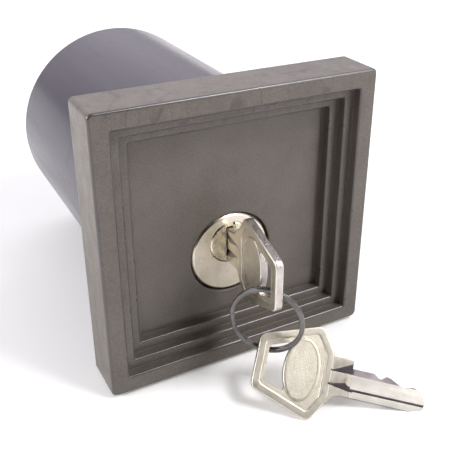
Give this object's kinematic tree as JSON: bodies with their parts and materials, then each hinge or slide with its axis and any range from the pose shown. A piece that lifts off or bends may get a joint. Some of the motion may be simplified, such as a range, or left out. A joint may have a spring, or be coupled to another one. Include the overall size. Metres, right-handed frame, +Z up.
{
  "type": "bait station",
  "caption": "Wall bait station: a feeding tube closed by a square stepped cover with a key lock, which carries bait blocks on a rod; two keys on a ring.",
  "frame": {"origin": "on the tube's axis in the plane of the wall, which the back of the square cover rests on", "axes": "+Y into the wall along the tube, +Z up, +X to the right seen from the front"},
  "size_m": [0.09, 0.1562, 0.0962],
  "materials": {
    "tube_plastic": "smooth extruded grey plastic, slight sheen",
    "cover_plastic": "fine-textured moulded grey-brown plastic",
    "seal_rubber": "black rubber",
    "zinc_steel": "zinc-plated steel",
    "lock_nickel": "warm nickel plating, finely turned",
    "plug_nickel": "warm nickel plating, finely turned",
    "pin_brass": "turned brass",
    "spring_steel": "drawn spring steel",
    "bait_wax": "moulded green wax with grain in it",
    "key_nickel": "cast nickel silver, soft polish"
  },
  "bodies": {
    "tube": {"tube": "tube_plastic", "keeper_ring": "tube_plastic"},
    "cover": {"front_cover": "cover_plastic", "cover_gasket": "seal_rubber", "spigot_o_ring": "seal_rubber", "backing_plate": "zinc_steel", "plate_screws": "zinc_steel", "lock_shell": "lock_nickel", "lock_washer": "zinc_steel", "lock_nut": "lock_nickel", "driver_pins": "pin_brass", "pin_springs": "spring_steel", "chamber_caps": "pin_brass", "bait_rod": "zinc_steel", "rod_nuts": "zinc_steel", "rod_washers": "zinc_steel", "bait_block_1": "bait_wax", "bait_block_2": "bait_wax", "bait_block_3": "bait_wax", "wing_nut": "zinc_steel"},
    "plug": {"lock_plug": "plug_nickel", "key_pins": "pin_brass", "stop_washer": "zinc_steel", "cam": "zinc_steel", "cam_washer": "zinc_steel", "cam_screw": "zinc_steel"},
    "key": {"key": "key_nickel"},
    "ring": {"split_ring": "spring_steel"},
    "spare_key": {"spare_key": "key_nickel"}
  },
  "joints": [
    {"name": "cover_slide", "type": "slide", "parent": "tube", "child": "cover", "axis": [0, -1, 0], "range_m": [0, 0.1]},
    {"name": "lock_turn", "type": "hinge", "parent": "cover", "child": "plug", "pos_m": [0, 0, -0.0078], "axis": [0, 1, 0], "range_deg": [0, 90]},
    {"name": "key_slide", "type": "slide", "parent": "plug", "child": "key", "axis": [0, -1, 0], "range_m": [0, 0.026]},
    {"name": "ring_swing", "type": "hinge", "parent": "key", "child": "ring", "pos_m": [0, -0.0297, -0.0138], "axis": [0, 0.9425, -0.3342], "range_deg": [-50, 0]},
    {"name": "spare_key_swing", "type": "hinge", "parent": "ring", "child": "spare_key", "pos_m": [0.00005, -0.02975, -0.03031], "axis": [0.638, -0.6284, -0.4451], "range_deg": [-20, 0]}
  ]
}
